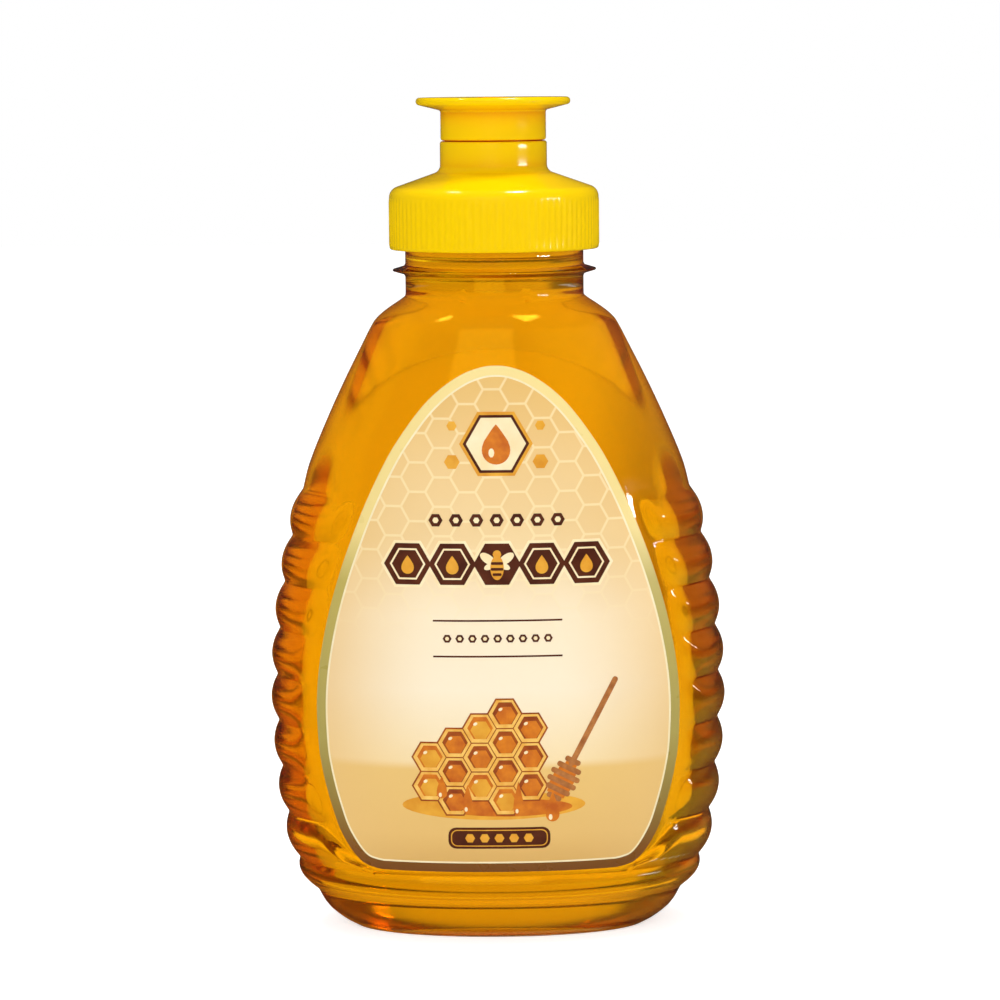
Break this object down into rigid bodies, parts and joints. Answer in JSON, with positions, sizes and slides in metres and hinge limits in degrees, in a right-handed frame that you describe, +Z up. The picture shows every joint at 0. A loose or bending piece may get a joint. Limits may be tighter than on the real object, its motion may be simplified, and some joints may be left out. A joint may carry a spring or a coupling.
{
  "type": "honey squeeze bottle",
  "caption": "Ribbed oval squeeze bottle full of honey, with egg-shaped labels and a ribbed screw closure with a push-pull pouring spout.",
  "frame": {"origin": "middle of the base, on the plane that the bottle stands on", "axes": "+Z up along the neck's axis, +X along the wide side, front label faces -Y"},
  "size_m": [0.089, 0.051, 0.1618],
  "materials": {
    "clear_pet": "clear blown bottle plastic, glossy",
    "honey": "clear amber liquid",
    "label_paper": "printed coated label with a honeycomb pattern",
    "yellow_plastic": "moulded yellow plastic, satin gloss",
    "liner_foam": "pressed white foam sheet"
  },
  "bodies": {
    "bottle": {"bottle": "clear_pet", "honey": "honey", "front_label": "label_paper", "back_label": "label_paper"},
    "liner": {"closure_liner": "liner_foam"},
    "closure": {"closure": "yellow_plastic"},
    "spout": {"pull_spout": "yellow_plastic"}
  },
  "joints": [
    {"name": "closure_lift", "type": "slide", "parent": "bottle", "child": "liner", "axis": [0, 0, 1], "range_m": [0, 0.00476]},
    {"name": "closure_unscrew", "type": "hinge", "parent": "liner", "child": "closure", "pos_m": [0, 0, 0.1434], "axis": [0, 0, 1], "range_deg": [0, 405]},
    {"name": "spout_pull", "type": "slide", "parent": "closure", "child": "spout", "axis": [0, 0, 1], "range_m": [0, 0.0042]}
  ],
  "couplings": [
    {"joint": "closure_unscrew", "follows": "closure_lift", "rad_per_m": 1484.3}
  ]
}
